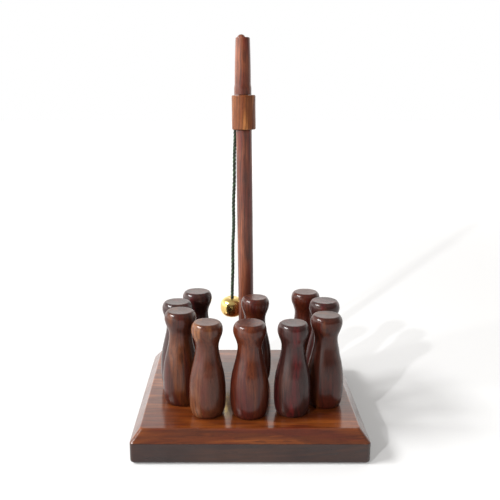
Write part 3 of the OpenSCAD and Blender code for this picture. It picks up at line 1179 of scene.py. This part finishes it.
    def build(self, library: Library, swing: np.ndarray, pole_axis: np.ndarray) -> None:
        """Makes the cord, the ball and the knot below the point that the cord swings from."""
        finish = CordFinish().build()
        middle = self.centreline(swing, pole_axis, 0.3 * MM)
        cord = self.cord(middle)
        hang = np.array(self.hang) * MM
        up_cord = -hang / np.linalg.norm(hang)
        ball = self.ball(Placement(swing + hang, up_cord))
        finish_piece(ball, BrassFinish().build(library), "pendulum", "ball_brass", "ball")
        down = self.ball_height / 2 - self.pocket_depth + self.knot_gap + self.knot_height / 2
        knot = self.knot(Placement(swing + hang - up_cord * down, up_cord))
        finish_piece(knot, finish, "pendulum", "cord_fibre", "ball_knot")
        finish_piece(cord, finish, "", "cord_fibre", "cord", "cord_end")
        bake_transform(cord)


# ---------------------------------------------------------------------------------------------
# The pins
# ---------------------------------------------------------------------------------------------


class PinTone(Enum):
    """The rosewood's tones, as dark, middle, pale and flush colours."""

    PURPLE = ((0.005, 0.002, 0.002), (0.03, 0.008, 0.007), (0.066, 0.024, 0.016), (0.08, 0.007, 0.008))
    RED = ((0.01, 0.002, 0.002), (0.058, 0.01, 0.004), (0.1, 0.022, 0.007), (0.055, 0.007, 0.005))
    TAN = ((0.014, 0.003, 0.002), (0.07, 0.016, 0.007), (0.19, 0.072, 0.026), (0.07, 0.011, 0.006))
    FLASHED = ((0.007, 0.002, 0.002), (0.042, 0.009, 0.005), (0.1, 0.026, 0.006), (0.055, 0.007, 0.004))


@dataclass(frozen=True)
class PinWood:
    """What one pin was cut from.

    Attributes:
        tone: its colours.
        pith: place of the pith from the pin's own middle, in millimetres.
        turn: turn of the grain about the pin, in degrees.
        pale_share: how much of it is pale.
    """

    tone: PinTone
    pith: tuple[float, float, float]
    turn: float
    pale_share: float


PIN_WOODS = (
    PinWood(PinTone.RED, (16.0, 9.0, 0.0), 20.0, 0.5),
    PinWood(PinTone.TAN, (-19.0, 6.0, 30.0), 75.0, 0.62),
    PinWood(PinTone.PURPLE, (12.0, -14.0, 60.0), 130.0, 0.4),
    PinWood(PinTone.FLASHED, (21.0, 4.0, 95.0), 200.0, 0.45),
    PinWood(PinTone.FLASHED, (-13.0, 15.0, 140.0), 250.0, 0.4),
    PinWood(PinTone.PURPLE, (18.0, 12.0, 190.0), 300.0, 0.35),
    PinWood(PinTone.PURPLE, (-15.0, -11.0, 230.0), 340.0, 0.35),
    PinWood(PinTone.PURPLE, (14.0, 17.0, 280.0), 35.0, 0.4),
    PinWood(PinTone.RED, (-20.0, 8.0, 330.0), 100.0, 0.35),
    PinWood(PinTone.RED, (17.0, -13.0, 380.0), 165.0, 0.45),
)


@dataclass
class Pins:
    """The ten turned pins. Sizes are shares of a pin's height or of its widest radius."""

    foot: float = 0.761
    body_at: float = 0.2
    neck: float = 0.6235
    neck_at: float = 0.745
    head: float = 0.8502
    head_at: float = 0.925
    flat: float = 0.668
    fullness: float = 1.4
    shoulder_end: float = 70.0

    def outline(self, radius: float, height: float) -> np.ndarray:
        """A pin's outline from its foot to the middle of its flat top.

        The foot is a quarter ellipse. From the body to the neck and from the neck to the head the
        radius falls and rises as half a cosine wave, held longer at the body. The shoulder is an
        elliptical arc that ends on the rim of the flat top.

        Args:
            radius: largest radius of the body.
            height: height of the pin.

        Returns:
            (radius, height) points.
        """
        foot, neck, head, flat = (radius * s for s in (self.foot, self.neck, self.head, self.flat))
        body_z, neck_z, head_z = (height * s for s in (self.body_at, self.neck_at, self.head_at))
        cosine = math.cos(math.radians(self.shoulder_end))
        shoulder = (flat - head * cosine) / (1 - cosine)
        tall = (height - head_z) / math.sin(math.radians(self.shoulder_end))

        def wave(r0: float, z0: float, r1: float, z1: float, fullness: float, steps: int) -> np.ndarray:
            """Half a cosine wave between two radii, without its first and last points."""
            t = np.linspace(0, 1, steps)[1:-1]
            r = (r0 + r1) / 2 + (r0 - r1) / 2 * np.cos(math.pi * t**fullness)
            return np.stack([r, z0 + (z1 - z0) * t], axis=1)

        rim = 0.25 * MM
        top = arc((shoulder, head_z), (head - shoulder, tall), 0, self.shoulder_end - 3.0, 24)
        flat_r = np.linspace(flat - 1.5 * rim, 0.1 * MM, 14)
        dish = 0.12 * MM * (1 - (flat_r / flat) ** 2)
        face = np.stack([flat_r, np.full_like(flat_r, height) - dish], axis=1)
        under = line([0.3 * foot, 0.25 * MM], [foot - 1.2 * MM, 0.2 * MM], [foot - 0.5 * MM, 0.0])
        return np.concatenate([
            under,
            arc((foot, body_z), (radius - foot, body_z), -90, 0, 26),
            wave(radius, body_z, neck, neck_z, self.fullness, 46),
            wave(neck, neck_z, head, head_z, 1.0, 24),
            top,
            line([flat - 0.35 * rim, height - 0.15 * rim]),
            face,
        ])

    def build(self, library: Library) -> None:
        """Turns each pin to its node's own size and gives it its own wood."""
        for number, wood in enumerate(PIN_WOODS, start=1):
            node = f"pin_{number}"
            low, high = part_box(node)
            middle = (low + high) / 2
            radius, height = (high.x - low.x) / 2 - 0.02 * MM, high.z - low.z
            outline = self.outline(radius, height)
            z = outline[:, 1]
            outline[:, 0] += 0.02 * MM * np.sin(z * 900.0 + number) * np.clip(z / MM / 3, 0, 1) - 0.01 * MM
            outline[:, 0] = np.maximum(outline[:, 0], 0.05 * MM)
            place = Placement(np.array([middle.x, middle.y, low.z]))
            pin = turned(f"{node}_turned", outline, place, 96)
            dark, mid, pale, flush = wood.tone.value
            here = np.array(middle) / MM
            finish = WoodFinish(
                f"{node}_rosewood",
                dark=dark,
                middle=mid,
                pale=pale,
                flush=flush,
                pith=tuple(-here + np.array(wood.pith)),
                tilt=(3.0, 2.0, wood.turn),
                spacing=2.6,
                pale_share=wood.pale_share,
                streaks=0.65,
                roughness=0.5,
                coat=0.72,
                coat_roughness=0.23,
                relief=0.01,
            )
            finish_piece(pin, finish.build(library), node, "pin_wood", node)


# ---------------------------------------------------------------------------------------------
# Camera, light and floor
# ---------------------------------------------------------------------------------------------


@dataclass(frozen=True)
class Lamp:
    """A soft oblong lamp that faces the middle of the set.

    Attributes:
        name: the lamp's name.
        at: its place.
        size: its width and height.
        power: its power in watts.
        mirrored: whether polished surfaces show it.
    """

    name: str
    at: tuple[float, float, float]
    size: tuple[float, float]
    power: float
    mirrored: bool
    aim: tuple[float, float, float] = (0.0, 0.0, 0.06)

    def hang(self) -> None:
        """Puts the lamp in the scene."""
        data = bpy.data.lights.new(self.name, "AREA")
        data.shape, data.energy = "RECTANGLE", self.power
        data.size, data.size_y = self.size
        lamp = bpy.data.objects.new(self.name, data)
        lamp.location = self.at
        lamp.rotation_euler = (Vector(self.aim) - Vector(self.at)).to_track_quat("-Z", "Y").to_euler()
        lamp.visible_glossy = self.mirrored
        bpy.context.scene.collection.objects.link(lamp)


@dataclass
class Studio:
    """A white floor and surround, a small key lamp, a wide window on the left and the camera."""

    eye: tuple[float, float, float] = (-0.0104, -0.4625, 0.2229)
    look_down: float = 13.65
    lens: float = 49.63
    shift: tuple[float, float] = (0.0332, 0.0275)
    floor_reach: float = 6.0
    floor_white: float = 0.6
    glow: float = 0.145
    far_glow: float = 0.645
    dimmest: float = 0.07
    daylight: Colour = (1.0, 0.975, 0.945)
    lamps: tuple[Lamp, ...] = (
        Lamp("key_front_left", (-1.05, -1.7, 0.9), (0.05, 0.05), 27.0, False),
        Lamp("window_left", (-2.3, -0.6, 1.95), (1.4, 0.6), 118.0, True),
    )

    def camera(self) -> None:
        """Sets the camera level from side to side, in front of the set and a little above it."""
        data = bpy.data.cameras.new("camera")
        data.lens, data.sensor_width = self.lens, 36.0
        data.shift_x, data.shift_y = self.shift
        data.clip_start, data.clip_end = 0.01, 20.0
        camera = bpy.data.objects.new("camera", data)
        camera.location = self.eye
        camera.rotation_euler = (math.radians(90 - self.look_down), 0, 0)
        bpy.context.scene.collection.objects.link(camera)
        bpy.context.scene.camera = camera

    def surround(self) -> None:
        """A surround that is bright behind and on the left, dim in front and on the right.

        The camera itself sees it as plain white.
        """
        world = bpy.data.worlds.new("surround")
        bpy.context.scene.world = world
        world.use_nodes = True
        w = Wiring(world.node_tree)
        way = w.node("TexCoord").outputs["Generated"]
        x, y, z = w.node("SeparateXYZ", None, Vector=way).outputs
        low = w.spread(z, 0.7, 0.15)
        behind = w.math("MULTIPLY_ADD", low, 1.0, 0.8)
        behind = w.math("MULTIPLY", w.spread(y, -0.15, 0.6), behind)
        left = w.math("MULTIPLY", w.spread(x, -0.1, -0.85, 0.0, 3.0), w.spread(z, 0.5, 0.15))
        right = w.spread(x, 0.3, 0.95, 0.0, 0.25)
        above = w.spread(z, 0.1, 0.6, 0.0, 0.45)
        light = w.math("MAXIMUM", w.math("MAXIMUM", behind, left), w.math("MAXIMUM", right, above))
        light = w.math("MAXIMUM", light, self.dimmest)
        lit = w.node("Background", None, Color=self.daylight, Strength=light)
        seen = w.node("Background", None, Color=(1.0, 1.0, 1.0), Strength=1.0)
        first = w.node("LightPath").outputs["Is Camera Ray"]
        both = w.node("MixShader", None, i0=first, i1=lit.outputs[0], i2=seen.outputs[0])
        w.node("OutputWorld", None, Surface=both.outputs[0])

    def floor(self) -> None:
        """A wide plain white floor that glows a little, more so far from the set."""
        size = self.floor_reach
        points = np.array([[-size, -size, 0], [size, -size, 0], [size, size, 0], [-size, size, 0]])
        floor = mesh_object("floor", points, [(0, 1, 2, 3)])
        material, w, shader = start_material("white_floor")
        here = w.node("TexCoord").outputs["Object"]
        away = w.node("VectorMath", {"operation": "LENGTH"}, i0=here).outputs[1]
        w.set(shader.inputs["Base Color"], (self.floor_white,) * 3)
        shader.inputs["Roughness"].default_value = 1.0
        shader.inputs["Specular IOR Level"].default_value = 0.0
        shader.inputs["Emission Color"].default_value = (1.0, 1.0, 1.0, 1.0)
        w.set(shader.inputs["Emission Strength"], w.spread(away, 0.2, 2.0, self.glow, self.far_glow))
        floor.data.materials.append(material)

    def build(self) -> None:
        """Sets up everything that isn't the set itself."""
        self.camera()
        self.surround()
        self.floor()
        for lamp in self.lamps:
            lamp.hang()
        bpy.context.scene.view_settings.view_transform = "Standard"


def joint(frame: dict[str, Any], name: str) -> dict[str, Any]:
    """The frame's joint of that name."""
    return next(j for j in frame["joints"] if j["name"] == name)


def main() -> None:
    """Builds the studio, then each part of the set round the frame."""
    logging.basicConfig(level=logging.INFO, format="%(name)s: %(message)s")
    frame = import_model()
    Studio().build()
    library = Library()
    turn, swing = joint(frame, "collar_turn"), joint(frame, "ball_swing")
    pole_place = Placement(np.array(turn["pos_m"], float), np.array(turn["axis"], float))
    Pendulum().build(library, np.array(swing["pos_m"], float), pole_place.axis)
    Board().build(library, frame)
    Pole().build(library, pole_place)
    Pins().build(library)


if __name__ == "__main__":
    main()
